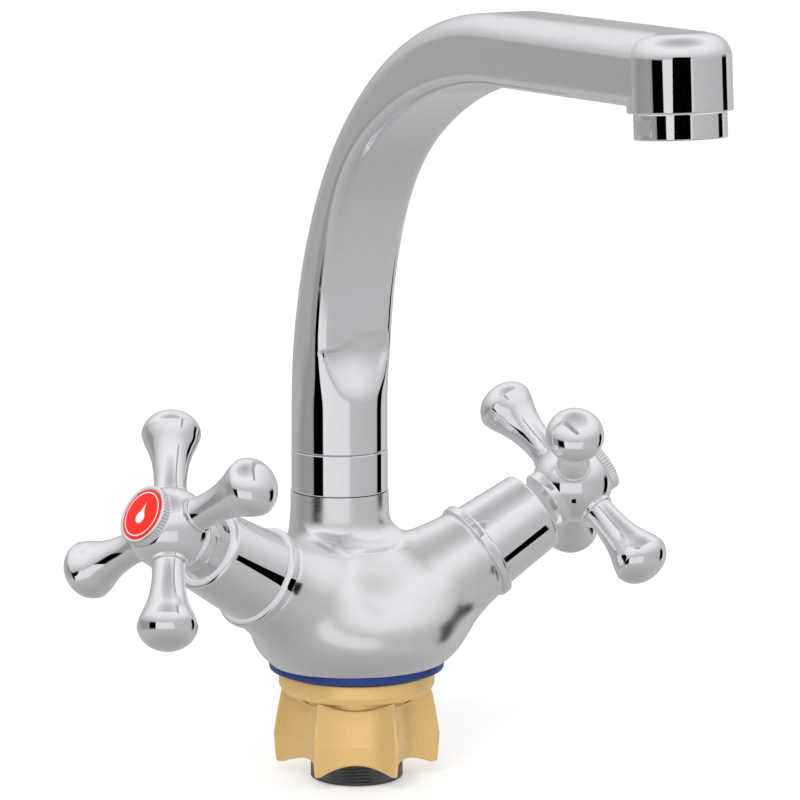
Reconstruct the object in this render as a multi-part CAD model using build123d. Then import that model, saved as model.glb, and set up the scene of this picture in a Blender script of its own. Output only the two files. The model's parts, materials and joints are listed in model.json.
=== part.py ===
"""Two-handle deck-mounted basin mixer: one STEP file for each separate piece.

Frame: millimetres, +Z up, origin at the centre of the seating plane (underside of the base seal),
spout towards -Y, hot valve towards -X, cold valve towards +X.
Valve pieces are drawn upright, with +Z along the valve axis and z = 0 where the axis meets the
middle of the body, and then placed on their side.
"""
from build123d import *
from math import cos, pi, radians, sin, sqrt
import os

# ---------------------------------------------------------------- driving dimensions
# base, seal and mounting
BASE_RADIUS = 25.4
SEAL_THICKNESS = 2.4
SHANK_RADIUS = 13.5            # M27x1 outside thread
SHANK_BORE_RADIUS = 11.6
SHANK_LENGTH = 32.6            # below the seating plane
SHANK_INSERT = 6.0             # screwed into the body
GASKET_THICKNESS = 0.9
GASKET_RADIUS = 22.3
NUT_FLANGE_RADIUS = 22.7
NUT_FLANGE_HEIGHT = 5.7
NUT_STAR_HEIGHT = 21.8
NUT_CORNER_RADIUS = 24.3       # widest, at the parting line
NUT_TOP_CORNER_RADIUS = 22.2
NUT_BOTTOM_CORNER_RADIUS = 23.5
NUT_WALL = 3.5                 # over the shank, at the valleys of the star
NUT_POINTS = 6
NUT_PARTING = 0.62             # share of the star height down to the parting line
NUT_DISH = 3.0                 # depth of the hollow in each end of the star
NUT_REST_TURN = 28.5           # degrees, of the star at rest
THREAD_CLEARANCE = 0.06        # radial, nut on shank
INLET_OFFSET = 6.1             # each inlet from the base axis
INLET_RADIUS = 5.0             # M10x1
INLET_DEPTH = 11.0

# column, collar and spout joint
COLUMN_OFFSET = 9.4            # swivel axis behind the base axis
NECK_TOP = 51.0                # the collar stands on the body here
COLLAR_RADIUS = 14.0
COLLAR_HEIGHT = 12.0
COLLAR_THREAD_RADIUS = 12.0
COLLAR_STUB_HEIGHT = 7.6
NECK_BORE_RADIUS = 9.0
TAIL_WALL = 2.55
TAIL_FLANGE_RADIUS = 11.4
TAIL_LENGTH = 16.0             # below the stub
RUNNING_GAP = 0.05

# spout
SPOUT_FRONT = 10.0             # inner face in front of the swivel axis
SPOUT_COLUMN_HALF_WIDTH = 13.2
SPOUT_ARM_HALF_WIDTH = 13.4
SPOUT_ARM_UNDERSIDE = 176.5
SPOUT_ARM_DEPTH = 19.0
SPOUT_REACH = 168.9            # outlet in front of the swivel axis
SPOUT_BACK = 10.5              # back face behind the swivel axis
SPOUT_BACK_ROUNDING = 6.5
SPOUT_FRONT_ROUNDING = 4.0
INNER_RADII = (110.0, 56.0, 101.0)    # tangent arcs of the inner face, from the column up
INNER_TURNS = (24.0, 30.0, 36.0)      # degrees turned by each
OUTER_RADII = (150.0, 115.0, 95.3)
OUTER_TURNS = (22.0, 28.0, 40.0)
OUTLET_TILT = 4.0              # the jet leans forward
OUTLET_RADIUS = 13.5
OUTLET_ROUNDING = 8.0          # of the boss top
OUTLET_STUB_RADIUS = 10.8
AERATOR_RADIUS = 11.9
AERATOR_HEIGHT = 6.8
WATERWAY_RADIUS = 4.6
WATERWAY_INSET = 7.0           # from the inner face to the middle of the bore

# valves
VALVE_FORWARD = 2.45           # the valve axes meet in front of the base axis
VALVE_CENTRE_HEIGHT = 10.1
VALVE_RISE = 30.2              # degrees above the deck
VALVE_SWEEP = 7.6              # degrees towards the front
ARM_END = 41.2                 # end of the body's arm, along the valve axis
ARM_END_RADIUS = 14.2
VALVE_BORE_RADIUS = 9.2
VALVE_SEAT = 22.0
SEAT_PORT_RADIUS = 4.0
DRILLING_RADIUS = 3.0          # waterways inside the body
NECK_BORE_DEPTH = 16.6         # below the top of the neck
RING_RADIUS = 15.1
RING_THICKNESS = 3.2
SLEEVE_LENGTH = 20.0
SLEEVE_BASE_RADIUS = 13.46
SLEEVE_TIP_RADIUS = 12.1
SLEEVE_WALL = 1.5
HEX_NECK_LENGTH = 2.8          # in sight beyond the sleeve
SPINDLE_RADIUS = 3.9

# handles
HUB_STANDOFF = 3.9             # from the sleeve to the back of the hub
HUB_RADIUS = 11.75
HUB_BEHIND = 10.5              # centre of the hub to its back
HUB_AHEAD = 8.1                # and to its flat front
HANDLE_ARM_SEAT = 10.4
HANDLE_ARM_ROOT_RADIUS = 5.3
HANDLE_ARM_NECK_RADIUS = 4.6
HANDLE_ARM_BULB_RADIUS = 8.5
HANDLE_ARM_BULB_AT = 31.5
HANDLE_ARM_TIP = 37.8
HANDLE_STUD_RADIUS = 3.0
SCREW_LEDGE = 1.2              # screw seat and spindle end, ahead of the hub centre
CAP_RADIUS = 8.7
CAP_HEIGHT = 2.7
CAP_SERRATIONS = 54
DISC_RADIUS = 7.55
REST_TURN = {"hot": 32.8, "cold": 47.3}   # of the handle cross at rest, degrees

# ---------------------------------------------------------------- derived sizes
BODY_BOTTOM = SEAL_THICKNESS
NUT_TOP = -GASKET_THICKNESS
NUT_STAR_TOP = NUT_TOP - NUT_FLANGE_HEIGHT
NUT_BOTTOM = NUT_STAR_TOP - NUT_STAR_HEIGHT
STUB_TOP = NECK_TOP + COLLAR_STUB_HEIGHT
SPOUT_BOTTOM = NECK_TOP + COLLAR_HEIGHT + RUNNING_GAP
RING_END = ARM_END + RING_THICKNESS
SLEEVE_END = RING_END + SLEEVE_LENGTH
NUT_BORE_RADIUS = SHANK_RADIUS + THREAD_CLEARANCE
NUT_VALLEY_RADIUS = SHANK_RADIUS + NUT_WALL
TAIL_RADIUS = NECK_BORE_RADIUS - RUNNING_GAP
TAIL_BORE_RADIUS = TAIL_RADIUS - TAIL_WALL
HEX_NECK_END = SLEEVE_END + HEX_NECK_LENGTH
HUB_BACK = SLEEVE_END + HUB_STANDOFF
HUB_CENTRE = HUB_BACK + HUB_BEHIND
HUB_FRONT = HUB_CENTRE + HUB_AHEAD
SCREW_SEAT = HUB_CENTRE + SCREW_LEDGE


# ---------------------------------------------------------------- small helpers
def turned(*outline):
    """Solid of revolution about Z from the corners (radius, height) of its outline."""
    points = [(r, 0, z) for r, z in outline]
    return revolve(make_face(Polyline(*points, close=True)), Axis.Z)


def ring(outer, inner, bottom, height):
    """Flat ring, or a disc where inner is 0, standing on z = bottom."""
    solid = Pos(0, 0, bottom) * Cylinder(outer, height, align=(Align.CENTER, Align.CENTER, Align.MIN))
    if inner > 0:
        solid -= Pos(0, 0, bottom - 1) * Cylinder(
            inner, height + 2, align=(Align.CENTER, Align.CENTER, Align.MIN))
    return solid


def seal_ring(centre_radius, section_radius, height):
    """Round-section rubber ring at the given height."""
    return Pos(0, 0, height) * Torus(centre_radius, section_radius)


def hexagon(across_flats, bottom, height):
    """Hexagonal prism standing on z = bottom."""
    outline = RegularPolygon(across_flats / sqrt(3), 6)
    return Pos(0, 0, bottom) * extrude(outline, height)


def valve_plane(side):
    """Plane of one valve: its normal is the valve axis, its x direction points up the slope."""
    sign = -1 if side == "hot" else 1
    rise, sweep = radians(VALVE_RISE), radians(VALVE_SWEEP)
    axis = Vector(sign * cos(rise) * cos(sweep), -cos(rise) * sin(sweep), sin(rise))
    up = Vector(0, 0, 1) - axis * sin(rise)
    origin = Vector(0, -VALVE_FORWARD, VALVE_CENTRE_HEIGHT)
    return Plane(origin, x_dir=up, z_dir=axis)


def on_valve(side, solid):
    """Move a valve piece from its drawing position onto its side of the body."""
    return Location(valve_plane(side)) * solid


def on_column(solid):
    """Move a piece drawn about Z onto the swivel axis."""
    return Pos(0, COLUMN_OFFSET, 0) * solid


# ---------------------------------------------------------------- body and mounting
def body_casting():
    """Hollow casting: bowl, neck with threaded stub, two valve arms and their waterways."""
    bowl = turned((0, BODY_BOTTOM), (BASE_RADIUS, BODY_BOTTOM), (29.2, 5.2), (31.4, 9.0),
                  (32.0, 14.0), (30.0, 22.0), (25.0, 30.0), (18.0, 36.0), (0, 37.0))
    neck = on_column(turned((0, 8), (20, 8), (18.5, 26), (16.0, 34), (14.6, 41), (14.3, NECK_TOP),
                            (COLLAR_THREAD_RADIUS, NECK_TOP), (COLLAR_THREAD_RADIUS, STUB_TOP),
                            (0, STUB_TOP)))
    shell = bowl + neck
    for side in REST_TURN:
        shell += on_valve(side, turned((0, 4), (18.0, 4), (16.0, 24), (ARM_END_RADIUS, 36),
                                       (ARM_END_RADIUS, ARM_END), (0, ARM_END)))
    shell &= Pos(0, 0, BODY_BOTTOM) * Box(200, 200, 120, align=(Align.CENTER, Align.CENTER, Align.MIN))

    cavity = ring(SHANK_RADIUS, 0, BODY_BOTTOM - 1, SHANK_INSERT + 1)
    cavity += on_column(ring(NECK_BORE_RADIUS, 0, NECK_TOP - NECK_BORE_DEPTH, 40))
    for side, sign in (("hot", -1), ("cold", 1)):
        cavity += on_valve(side, ring(VALVE_BORE_RADIUS, 0, VALVE_SEAT, 30))
        cavity += on_valve(side, ring(SEAT_PORT_RADIUS, 0, VALVE_SEAT - 6, 8))
        inlet = Pos(sign * INLET_OFFSET, 0, BODY_BOTTOM)
        cavity += inlet * ring(INLET_RADIUS, 0, -1, SHANK_INSERT + INLET_DEPTH + 1 - BODY_BOTTOM)
        start = Vector(sign * INLET_OFFSET, 0, SHANK_INSERT + INLET_DEPTH - 2.5)
        end = valve_plane(side).from_local_coords((0, 0, VALVE_SEAT - 4))
        cavity += passage(start, end, DRILLING_RADIUS)
        start = valve_plane(side).from_local_coords((4.0, 0, VALVE_SEAT + 10))
        neck_foot = Vector(sign * 4, COLUMN_OFFSET, NECK_TOP - 13)
        cavity += passage(start, neck_foot, DRILLING_RADIUS)
    return shell - cavity


def passage(start, end, radius):
    """Straight drilled waterway between two points."""
    way = end - start
    return Location(Plane(start, z_dir=way)) * ring(radius, 0, 0, way.length)


def base_seal():
    """Soft coloured ring between the body and the deck."""
    return ring(BASE_RADIUS + 0.1, SHANK_RADIUS + 0.1, 0, SEAL_THICKNESS)


def shank():
    """Hollow shank screwed into the body, chamfered at its free end; drawn at thread diameter."""
    tube = ring(SHANK_RADIUS, SHANK_BORE_RADIUS, -SHANK_LENGTH,
                SHANK_LENGTH + BODY_BOTTOM + SHANK_INSERT)
    return chamfer(tube.edges().group_by(Axis.Z)[0].sort_by(SortBy.RADIUS)[-1:], 0.4)


def deck_gasket():
    """Thin black ring that the nut presses against the deck."""
    return ring(GASKET_RADIUS, SHANK_RADIUS + 0.4, -GASKET_THICKNESS, GASKET_THICKNESS)


def mounting_nut():
    """Flanged nut with concave sides: drafted both ways from a parting line, dished at each end."""
    parting = NUT_STAR_TOP - NUT_PARTING * NUT_STAR_HEIGHT
    dish = NUT_DISH
    neck = NUT_VALLEY_RADIUS - 0.7
    star = turned((0, NUT_STAR_TOP - dish), (neck, NUT_STAR_TOP - dish - 0.4),
                  (NUT_TOP_CORNER_RADIUS - 0.6, NUT_STAR_TOP), (NUT_TOP_CORNER_RADIUS, NUT_STAR_TOP - 0.8),
                  (NUT_CORNER_RADIUS, parting), (NUT_BOTTOM_CORNER_RADIUS, NUT_BOTTOM + 1.0),
                  (NUT_BOTTOM_CORNER_RADIUS - 1.2, NUT_BOTTOM),
                  (neck - 1.5, NUT_BOTTOM + dish), (0, NUT_BOTTOM + dish))
    sagitta = NUT_CORNER_RADIUS * cos(pi / NUT_POINTS) - NUT_VALLEY_RADIUS
    half_chord = NUT_CORNER_RADIUS * sin(pi / NUT_POINTS) - 1.1
    scoop = (half_chord ** 2 + sagitta ** 2) / (2 * sagitta)
    far = NUT_VALLEY_RADIUS + scoop
    cutter = turned((0, NUT_STAR_TOP + 1), (scoop + 1.5, NUT_STAR_TOP + 1), (scoop, parting),
                    (scoop + 0.7, NUT_BOTTOM - 1), (0, NUT_BOTTOM - 1))
    for i in range(NUT_POINTS):
        star -= Rot(0, 0, 360 * i / NUT_POINTS) * Pos(0, -far, 0) * cutter
    flange = turned((0, NUT_TOP), (NUT_FLANGE_RADIUS - 0.5, NUT_TOP), (NUT_FLANGE_RADIUS, NUT_TOP - 0.5),
                    (NUT_FLANGE_RADIUS, NUT_TOP - 3.6), (NUT_FLANGE_RADIUS - 0.9, NUT_STAR_TOP),
                    (0, NUT_STAR_TOP))
    core = ring(neck - 0.8, 0, NUT_BOTTOM + dish, NUT_STAR_HEIGHT - dish + 1)
    nut = star + flange + core
    nut -= ring(NUT_BORE_RADIUS, 0, NUT_BOTTOM - 1, NUT_STAR_HEIGHT + NUT_FLANGE_HEIGHT + 2)
    return Rot(0, 0, NUT_REST_TURN) * nut


# ---------------------------------------------------------------- spout and its joint
def collar():
    """Smooth ring nut that holds the spout tail down on the body."""
    top = NECK_TOP + COLLAR_HEIGHT
    return on_column(turned(
        (COLLAR_THREAD_RADIUS, NECK_TOP), (COLLAR_RADIUS - 0.25, NECK_TOP),
        (COLLAR_RADIUS, NECK_TOP + 0.25), (COLLAR_RADIUS, top - 0.25), (COLLAR_RADIUS - 0.25, top),
        (NECK_BORE_RADIUS + 0.6, top), (NECK_BORE_RADIUS + 0.6, top - 1.4),
        (COLLAR_THREAD_RADIUS, top - 1.4)))


def spout_tail():
    """Brass tube screwed into the spout: it turns in the neck on two seal rings."""
    bottom = STUB_TOP - TAIL_LENGTH
    flange = STUB_TOP + RUNNING_GAP
    groove = TAIL_RADIUS - 1.4
    outline = [(TAIL_BORE_RADIUS, bottom), (TAIL_RADIUS - 0.8, bottom), (TAIL_RADIUS, bottom + 0.8)]
    for middle in tail_grooves():
        outline += [(TAIL_RADIUS, middle - 1.0), (groove, middle - 1.0),
                    (groove, middle + 1.0), (TAIL_RADIUS, middle + 1.0)]
    outline += [(TAIL_RADIUS, flange), (TAIL_FLANGE_RADIUS, flange), (TAIL_FLANGE_RADIUS, flange + 1.8),
                (TAIL_RADIUS, flange + 1.8), (TAIL_RADIUS, SPOUT_BOTTOM + 9),
                (TAIL_BORE_RADIUS, SPOUT_BOTTOM + 9)]
    return on_column(turned(*outline))


def tail_grooves():
    """Heights of the two seal grooves on the tail."""
    return [STUB_TOP - TAIL_LENGTH + 4, STUB_TOP - TAIL_LENGTH + 9]


def spout_seals():
    """The two rubber rings on the tail."""
    section = 0.7
    rings = [on_column(seal_ring(TAIL_RADIUS - 1.4 + section, section, z)) for z in tail_grooves()]
    return Compound(rings)


def bearing_ring():
    """Split plastic ring between the tail flange and the lip of the collar."""
    bottom = STUB_TOP + RUNNING_GAP + 1.8
    top = NECK_TOP + COLLAR_HEIGHT - 1.4 - RUNNING_GAP
    gap = Pos(0, 10, bottom) * Box(1.0, 8, 10)
    return on_column(ring(TAIL_FLANGE_RADIUS, TAIL_RADIUS + 0.1, bottom, top - bottom) - gap)


def climb(radii, turns):
    """Height gained by tangent arcs that start upright and lean forward by each turn in degrees."""
    height, lean = 0.0, 0.0
    for radius, turn in zip(radii, turns):
        height += radius * (sin(radians(lean + turn)) - sin(radians(lean)))
        lean += turn
    return height


def side_point(forward, height):
    """Point in the middle plane, given its distance in front of the swivel axis."""
    return Vector(0, COLUMN_OFFSET - forward, height)


def bend(forward, height, radii, turns):
    """Tangent arcs of a bend that starts upright at a point, and the point where they end."""
    arcs, lean = [], 0.0
    for radius, turn in zip(radii, turns):
        points = []
        for share in (0, 0.5, 1):
            a, b = radians(lean), radians(lean + turn * share)
            points.append((forward + radius * (cos(a) - cos(b)), height + radius * (sin(b) - sin(a))))
        arcs.append(ThreePointArc(*[side_point(*point) for point in points]))
        forward, height = points[-1]
        lean += turn
    return arcs, (forward, height)


def spout():
    """Cast spout: rises from the collar, thins round the bend and ends in the outlet boss."""
    top = SPOUT_ARM_UNDERSIDE + SPOUT_ARM_DEPTH
    front_start = SPOUT_ARM_UNDERSIDE - climb(INNER_RADII, INNER_TURNS)
    back_start = top - climb(OUTER_RADII, OUTER_TURNS)
    front_arcs, front_end = bend(SPOUT_FRONT, front_start, INNER_RADII, INNER_TURNS)
    back_arcs, back_end = bend(-SPOUT_BACK, back_start, OUTER_RADII, OUTER_TURNS)
    straight = Polyline(side_point(*back_end), side_point(SPOUT_REACH, top),
                        side_point(SPOUT_REACH, SPOUT_ARM_UNDERSIDE), side_point(*front_end))
    foot = Polyline(side_point(SPOUT_FRONT, front_start), side_point(SPOUT_FRONT, SPOUT_BOTTOM),
                    side_point(-SPOUT_BACK, SPOUT_BOTTOM), side_point(-SPOUT_BACK, back_start))
    profile = make_face([*front_arcs, straight, *back_arcs, foot])
    casting = extrude(profile, SPOUT_ARM_HALF_WIDTH, dir=(1, 0, 0), both=True)
    sides = casting.edges().filter_by(
        lambda edge: abs(abs(edge.center().X) - SPOUT_ARM_HALF_WIDTH) < 0.01)
    back_keys = [arc.center() for arc in back_arcs] + [
        side_point(0.5 * (back_end[0] + SPOUT_REACH), top),
        side_point(-SPOUT_BACK, 0.5 * (back_start + SPOUT_BOTTOM))]
    front_keys = [arc.center() for arc in front_arcs] + [
        side_point(0.5 * (front_end[0] + SPOUT_REACH), SPOUT_ARM_UNDERSIDE),
        side_point(SPOUT_FRONT, 0.5 * (front_start + SPOUT_BOTTOM))]
    back_edges = [edge for edge in sides if lies_at(edge, back_keys)]
    front_edges = [edge for edge in sides if lies_at(edge, front_keys)]
    casting = fillet(back_edges, SPOUT_BACK_ROUNDING)
    front_edges = [edge for edge in casting.edges() if any(
        (edge.center() - old.center()).length < 0.01 for old in front_edges)]
    casting = fillet(front_edges, SPOUT_FRONT_ROUNDING)

    outline = [(SPOUT_COLUMN_HALF_WIDTH, SPOUT_BOTTOM), (SPOUT_COLUMN_HALF_WIDTH, 105),
               (SPOUT_ARM_HALF_WIDTH, 145), (SPOUT_ARM_HALF_WIDTH, top + 1)]
    outline += [(-x, z) for x, z in reversed(outline)]
    taper = extrude(make_face(Polyline(*[(x, 0, z) for x, z in outline], close=True)), 300, both=True)
    casting &= taper
    casting &= on_column(turned((0, SPOUT_BOTTOM), (COLLAR_RADIUS, SPOUT_BOTTOM),
                                (COLLAR_RADIUS, SPOUT_BOTTOM + 3), (16.5, SPOUT_BOTTOM + 20),
                                (300, SPOUT_BOTTOM + 20), (300, 300), (0, 300)))
    casting += on_column(turned((0, SPOUT_BOTTOM), (COLLAR_RADIUS, SPOUT_BOTTOM),
                                (COLLAR_RADIUS, SPOUT_BOTTOM + 3), (9.0, SPOUT_BOTTOM + 18),
                                (0, SPOUT_BOTTOM + 18)))
    boss = ring(OUTLET_RADIUS, 0, 0, SPOUT_ARM_DEPTH + 0.9)
    boss = fillet(boss.edges().group_by(Axis.Z)[-1], OUTLET_ROUNDING)
    casting += outlet_place() * (boss + ring(OUTLET_STUB_RADIUS, 0, -4.6, 6))
    casting -= on_column(ring(TAIL_RADIUS, 0, SPOUT_BOTTOM - 1, 10.1))
    return casting - waterway()


def lies_at(edge, centres):
    """True where the edge's middle has the height and depth of one of the given points."""
    middle = edge.center()
    return any(abs(middle.Y - c.Y) < 0.01 and abs(middle.Z - c.Z) < 0.01 for c in centres)


def outlet_place():
    """Place of the outlet: middle of the aerator's top face, leaning with the jet."""
    return Pos(0, COLUMN_OFFSET - SPOUT_REACH, SPOUT_ARM_UNDERSIDE - 1.1) * Rot(-OUTLET_TILT, 0, 0)


def waterway():
    """Bore of the spout: up the column, round the bend and down through the outlet stub."""
    radii = [radius + WATERWAY_INSET for radius in INNER_RADII]
    height = SPOUT_ARM_UNDERSIDE + WATERWAY_INSET - climb(radii, INNER_TURNS)
    foot = side_point(SPOUT_FRONT - WATERWAY_INSET, SPOUT_BOTTOM)
    arcs, end = bend(SPOUT_FRONT - WATERWAY_INSET, height, radii, INNER_TURNS)
    path = Wire([Edge.make_line(foot, arcs[0] @ 0), *arcs,
                 Edge.make_line(side_point(*end), side_point(SPOUT_REACH, end[1]))])
    start = Plane(origin=foot, z_dir=(0, 0, 1))
    bore = sweep(start * Circle(WATERWAY_RADIUS), path=path)
    return bore + outlet_place() * ring(8.6, 0, -6, 12)


def aerator_housing():
    """Screwed-on cup that carries the jet insert, with two wrench flats."""
    cup = turned((OUTLET_STUB_RADIUS, 0), (AERATOR_RADIUS - 0.3, 0), (AERATOR_RADIUS, -0.3),
                 (AERATOR_RADIUS, -AERATOR_HEIGHT + 0.5), (AERATOR_RADIUS - 0.5, -AERATOR_HEIGHT),
                 (9.2, -AERATOR_HEIGHT), (9.2, -AERATOR_HEIGHT + 1.2),
                 (OUTLET_STUB_RADIUS, -AERATOR_HEIGHT + 1.2))
    flat = AERATOR_RADIUS - 0.5
    for sign in (-1, 1):
        cup -= Pos(sign * (flat + 2), 0, -AERATOR_HEIGHT + 1.6) * Box(4, 14, 3.4)
    return outlet_place() * cup


def aerator_gasket():
    """Rubber washer between the stub and the jet insert."""
    return outlet_place() * ring(OUTLET_STUB_RADIUS - 0.1, 8.8, -4.6 - 0.6, 0.6)


def aerator_insert():
    """Plastic jet insert with a perforated face."""
    disc = ring(9.1, 0, -AERATOR_HEIGHT + 0.4, 1.2)
    disc += ring(OUTLET_STUB_RADIUS - 0.2, 7.6, -AERATOR_HEIGHT + 1.2, 0.4)
    for count, radius in ((6, 2.6), (12, 5.2), (18, 7.6)):
        for i in range(count):
            hole = Pos(radius * cos(2 * pi * i / count), radius * sin(2 * pi * i / count), 0)
            disc -= hole * ring(0.75, 0, -AERATOR_HEIGHT - 1, 5)
    return outlet_place() * disc


# ---------------------------------------------------------------- valve pieces
def flange_ring():
    """Chrome ring between the body's arm and the sleeve."""
    return turned((11.2, ARM_END), (RING_RADIUS - 0.8, ARM_END), (RING_RADIUS, ARM_END + 0.8),
                  (RING_RADIUS, RING_END - 0.8), (RING_RADIUS - 0.8, RING_END), (11.2, RING_END))


def valve_sleeve():
    """Conical chrome sleeve with a rounded outer end."""
    inner_tip = SLEEVE_TIP_RADIUS - SLEEVE_WALL
    outer = turned((0, RING_END), (SLEEVE_BASE_RADIUS, RING_END),
                   (SLEEVE_TIP_RADIUS + 0.1, SLEEVE_END - 1.6), (SLEEVE_TIP_RADIUS - 0.5, SLEEVE_END - 0.4),
                   (SLEEVE_TIP_RADIUS - 1.6, SLEEVE_END), (0, SLEEVE_END))
    inner = turned((0, RING_END - 1), (SLEEVE_BASE_RADIUS - SLEEVE_WALL, RING_END - 1),
                   (inner_tip, SLEEVE_END - 2.2), (0, SLEEVE_END - 2.2))
    return outer - inner - ring(9.2, 0, SLEEVE_END - 4, 6)


def valve_body():
    """Brass headwork: threaded skirt, hexagonal shoulder and hexagonal neck round the spindle."""
    body = turned((7.45, VALVE_SEAT + 1.6), (9.1, VALVE_SEAT + 1.6), (9.1, ARM_END - 3.4),
                  (7.6, ARM_END - 3.4), (7.6, ARM_END - 1.4), (9.1, ARM_END - 1.4), (9.1, ARM_END),
                  (7.0, ARM_END), (7.0, VALVE_SEAT + 9), (7.45, VALVE_SEAT + 9))
    body += hexagon(19.0, ARM_END, 3.6)
    body += ring(7.0, 0, VALVE_SEAT + 9, SLEEVE_END - 2 - VALVE_SEAT - 9)
    body += hexagon(14.0, SLEEVE_END - 2, HEX_NECK_END - SLEEVE_END + 2)
    body -= ring(SPINDLE_RADIUS + RUNNING_GAP, 0, VALVE_SEAT, 60)
    window = Box(5, 30, 3.4)
    return body - Pos(0, 0, VALVE_SEAT + 7.2) * window


def valve_o_ring():
    """Rubber ring under the shoulder of the headwork."""
    return seal_ring(8.35, 0.75, ARM_END - 2.4)


def seat_washer():
    """Rubber washer that presses the fixed disc from below."""
    return ring(8.6, 4.4, VALVE_SEAT, 1.6)


def fixed_disc():
    """Ceramic disc with two ports, held still in the headwork."""
    return disc_with_ports(7.4, VALVE_SEAT + 1.6, 2.2)


def moving_disc():
    """Ceramic disc that the spindle turns over the fixed one."""
    return disc_with_ports(7.35, VALVE_SEAT + 3.85, 2.0)


def disc_with_ports(radius, bottom, thickness):
    """Ceramic disc with a pair of round ports."""
    disc = ring(radius, 0, bottom, thickness)
    for sign in (-1, 1):
        disc -= Pos(sign * 3.6, 0, 0) * ring(2.0, 0, bottom - 1, thickness + 2)
    return disc


def spindle():
    """Brass spindle from the moving disc to the handle, with a tapped end."""
    foot = VALVE_SEAT + 5.85
    post = ring(7.3, 0, foot, 2.6) + ring(SPINDLE_RADIUS, 0, foot, SCREW_SEAT - foot)
    for sign in (-1, 1):
        post -= Pos(sign * 3.6, 0, 0) * ring(1.9, 0, foot - 1, 3)
    return post - ring(2.0, 0, SCREW_SEAT - 9, 20)


# ---------------------------------------------------------------- handle pieces
def handle_hub():
    """Round hub, flat in front for the cap, with a skirt over the neck of the headwork."""
    hub = Pos(0, 0, HUB_CENTRE) * Sphere(HUB_RADIUS)
    hub &= ring(HUB_RADIUS + 1, 0, HUB_BACK + 1.5, HUB_FRONT - HUB_BACK - 1.5)
    hub += ring(8.9, 0, HUB_BACK, 4.0)
    hub -= ring(8.1, 0, HUB_BACK - 1, 3.4)
    hub -= ring(SPINDLE_RADIUS, 0, HUB_BACK, SCREW_SEAT - HUB_BACK)
    hub -= ring(5.2, 0, SCREW_SEAT, 10)
    for i in range(4):
        hub -= arm_place(i) * ring(HANDLE_STUD_RADIUS, 0, 6.4, 10)
        hub -= arm_place(i) * ring(HANDLE_ARM_ROOT_RADIUS + 0.2, 0, HANDLE_ARM_SEAT, 5)
    return hub


def arm_place(i):
    """Place of one of the four arms, drawn along its own Z from the middle of the hub."""
    return Pos(0, 0, HUB_CENTRE) * Rot(0, 0, 90 * i) * Rot(0, 90, 0)


def handle_arm():
    """Turned arm: threaded stud, root ring, trumpet and domed end."""
    root = HANDLE_ARM_SEAT + 1.4
    stud = ring(HANDLE_STUD_RADIUS, 0, 6.6, HANDLE_ARM_SEAT - 6.6)
    neck, bulb, wide, tip = (HANDLE_ARM_NECK_RADIUS, HANDLE_ARM_BULB_RADIUS, HANDLE_ARM_BULB_AT,
                             HANDLE_ARM_TIP)
    trumpet = Spline((neck, 0, root), (neck + 0.25, 0, root + 6.5), (bulb - 1.7, 0, wide - 5.5),
                     (bulb, 0, wide), tangents=[(0, 0, 1), (0, 0, 1)])
    dome = Spline((bulb, 0, wide), (bulb * 0.72, 0, tip - 1.75), (0, 0, tip),
                  tangents=[(0, 0, 1), (-1, 0, 0)])
    edge = Polyline((0, 0, tip), (0, 0, HANDLE_ARM_SEAT), (HANDLE_ARM_ROOT_RADIUS, 0, HANDLE_ARM_SEAT),
                    (HANDLE_ARM_ROOT_RADIUS, 0, root), (neck, 0, root))
    return stud + revolve(make_face([edge, trumpet, dome]), Axis.Z)


def handle_arms():
    """The four arms of one cross."""
    return Compound([arm_place(i) * handle_arm() for i in range(4)])


def handle_screw():
    """Screw that holds the hub on the spindle."""
    head = ring(3.6, 0, SCREW_SEAT, 2.4) - Pos(0, 0, SCREW_SEAT + 2.4) * Box(8, 0.9, 1.6)
    return head + ring(2.0, 0, SCREW_SEAT - 7.5, 7.5)


def index_cap():
    """Knurled cap that plugs the front of the hub and holds the index disc."""
    outline = []
    for i in range(2 * CAP_SERRATIONS):
        radius = CAP_RADIUS if i % 2 else CAP_RADIUS - 0.35
        angle = pi * i / CAP_SERRATIONS
        outline.append((radius * cos(angle), radius * sin(angle)))
    knurl = extrude(make_face(Polyline(*outline, close=True)), CAP_HEIGHT)
    cap = Pos(0, 0, HUB_FRONT) * knurl + ring(5.15, 0, HUB_FRONT - 2.4, 2.4)
    return cap - ring(DISC_RADIUS, 0, HUB_FRONT + CAP_HEIGHT - 0.6, 2)


def index_disc():
    """Coloured disc that tells hot from cold."""
    return ring(DISC_RADIUS, 0, HUB_FRONT + CAP_HEIGHT - 0.6, 0.8)


# ---------------------------------------------------------------- all nodes
def build_nodes():
    """Every piece in its place, under its node name."""
    nodes = {
        "body_casting": body_casting(),
        "base_seal": base_seal(),
        "threaded_shank": shank(),
        "deck_gasket": deck_gasket(),
        "mounting_nut": mounting_nut(),
        "swivel_collar": collar(),
        "spout": spout(),
        "spout_tail": spout_tail(),
        "spout_seal_rings": spout_seals(),
        "spout_bearing_ring": bearing_ring(),
        "aerator_housing": aerator_housing(),
        "aerator_gasket": aerator_gasket(),
        "aerator_insert": aerator_insert(),
    }
    fixed = {"flange_ring": flange_ring, "valve_sleeve": valve_sleeve, "valve_body": valve_body,
             "valve_o_ring": valve_o_ring, "seat_washer": seat_washer, "fixed_disc": fixed_disc}
    turning = {"moving_disc": moving_disc, "spindle": spindle, "handle_hub": handle_hub,
               "handle_arms": handle_arms, "handle_screw": handle_screw, "index_cap": index_cap,
               "index_disc": index_disc}
    for side, turn in REST_TURN.items():
        for name, make in fixed.items():
            nodes[f"{side}_{name}"] = on_valve(side, make())
        for name, make in turning.items():
            nodes[f"{side}_{name}"] = on_valve(side, Rot(0, 0, turn) * make())
    return nodes


os.makedirs("parts", exist_ok=True)
for node_name, solid in build_nodes().items():
    export_step(solid, f"parts/{node_name}.step")
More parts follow.
